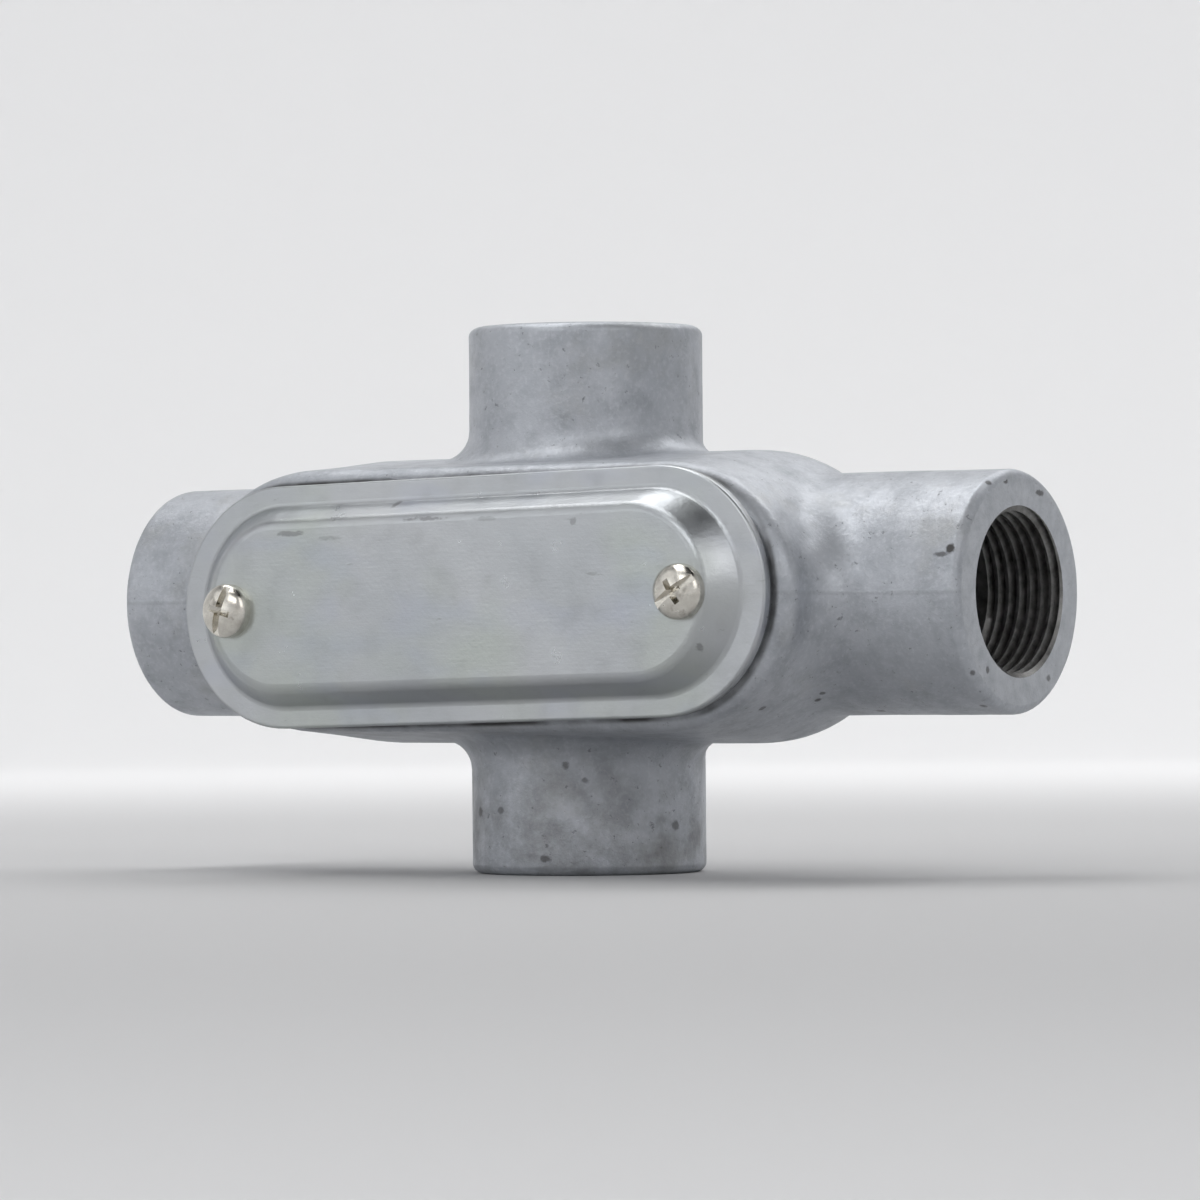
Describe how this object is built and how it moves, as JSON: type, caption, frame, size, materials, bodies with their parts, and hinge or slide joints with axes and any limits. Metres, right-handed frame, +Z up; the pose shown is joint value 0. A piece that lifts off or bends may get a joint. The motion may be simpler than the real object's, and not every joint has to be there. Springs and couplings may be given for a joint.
{
  "type": "conduit body",
  "caption": "Cross-shaped cast-iron conduit body: a long hollow box with a threaded hub on each end, top and bottom, closed by an oblong stamped cover held by screws.",
  "frame": {"origin": "centre of the lower hub's end face, which the part can stand on", "axes": "+Z up along the lower and upper hubs, +X along the run towards the right-hand hub, -Y out through the cover"},
  "size_m": [0.1524, 0.0611, 0.0831],
  "materials": {
    "casting": "matt silver-grey zinc and aluminium coat over fine sand-cast skin",
    "cover": "satin zinc plate on stamped sheet steel, scuffed",
    "screw": "bright nickel plate on steel",
    "nut": "dull zinc plate on steel"
  },
  "bodies": {
    "casting": {"body": "casting"},
    "cover": {"cover": "cover"},
    "screw_left": {"screw_left": "screw"},
    "screw_right": {"screw_right": "screw"},
    "nut_left": {"wedge_nut_left": "nut"},
    "nut_right": {"wedge_nut_right": "nut"}
  },
  "joints": [
    {"name": "cover_lift", "type": "slide", "parent": "casting", "child": "cover", "axis": [0, -1, 0], "range_m": [0, 0.06]},
    {"name": "screw_left_turn", "type": "hinge", "parent": "cover", "child": "screw_left", "pos_m": [-0.04133, -0.0359, 0.04018], "axis": [0, -1, 0], "range_deg": [0, 2160]},
    {"name": "screw_right_turn", "type": "hinge", "parent": "cover", "child": "screw_right", "pos_m": [0.04075, -0.0359, 0.04212], "axis": [0, -1, 0], "range_deg": [0, 2160]},
    {"name": "nut_left_travel", "type": "slide", "parent": "cover", "child": "nut_left", "axis": [0, 1, 0], "range_m": [0, 0.00476]},
    {"name": "nut_right_travel", "type": "slide", "parent": "cover", "child": "nut_right", "axis": [0, 1, 0], "range_m": [0, 0.00476]}
  ],
  "couplings": [
    {"joint": "screw_left_turn", "follows": "nut_left_travel", "rad_per_m": 7915.8},
    {"joint": "screw_right_turn", "follows": "nut_right_travel", "rad_per_m": 7915.8}
  ]
}
